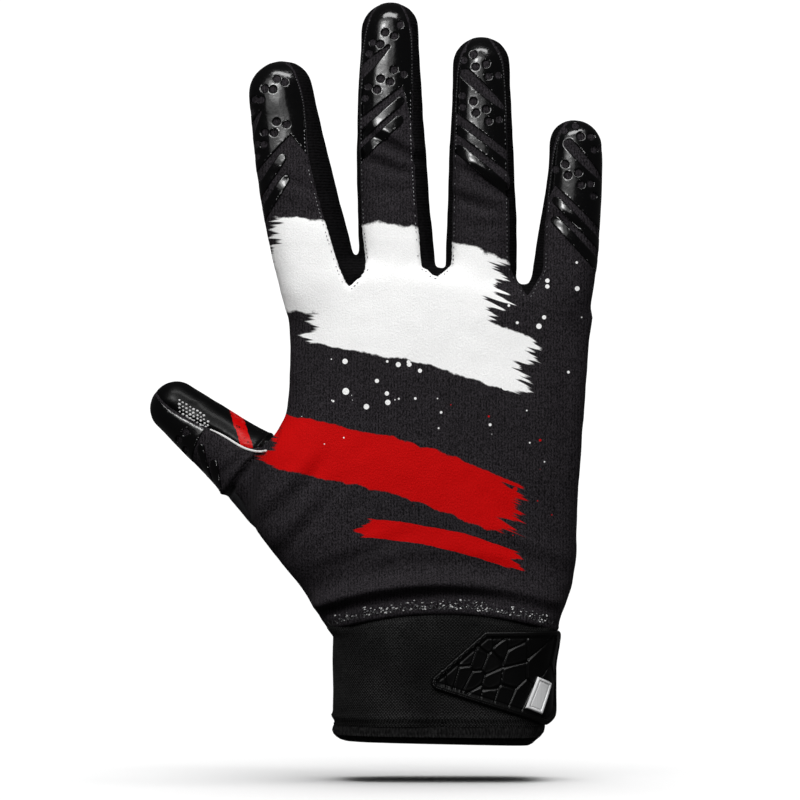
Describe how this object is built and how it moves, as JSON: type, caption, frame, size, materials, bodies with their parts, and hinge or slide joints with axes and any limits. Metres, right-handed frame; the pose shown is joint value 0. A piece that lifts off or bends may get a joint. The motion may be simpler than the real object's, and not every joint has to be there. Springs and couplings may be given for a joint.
{
  "type": "football receiver glove",
  "caption": "Snug right-hand sports glove in its worn form, open at the wrist, with raised grip prints on the fingertips and a wrap-round tab closure at the cuff.",
  "frame": {"origin": "centre of the wrist opening, in the plane of the hem's lowest edge", "axes": "+Z from the wrist to the fingertips, +X to the little finger, -Y is the back of the hand"},
  "size_m": [0.1441, 0.0481, 0.2346],
  "materials": {
    "back_cloth": "knitted, printed",
    "side_cloth": "ribbed stretch knit",
    "palm_grip": "tacky coated synthetic leather",
    "silicone": "glossy",
    "piping": "satin",
    "band_cloth": "woven",
    "hem_cloth": "soft jersey",
    "strap_cloth": "woven webbing",
    "tab_rubber": "moulded, satin",
    "badge": "satin"
  },
  "bodies": {
    "root": {"back_panel": "back_cloth", "palm_panel": "palm_grip", "gusset_index_middle": "side_cloth", "gusset_middle_ring": "side_cloth", "gusset_ring_little": "side_cloth", "thumb_back": "back_cloth", "thumb_palm": "palm_grip", "thumb_piping": "piping", "grip_print_index": "silicone", "grip_print_middle": "silicone", "grip_print_ring": "silicone", "grip_print_little": "silicone", "grip_print_thumb": "silicone", "cuff_band": "band_cloth", "cuff_hem": "hem_cloth", "closure_strap": "strap_cloth", "closure_tab": "tab_rubber", "tab_badge": "badge"}
  },
  "joints": []
}
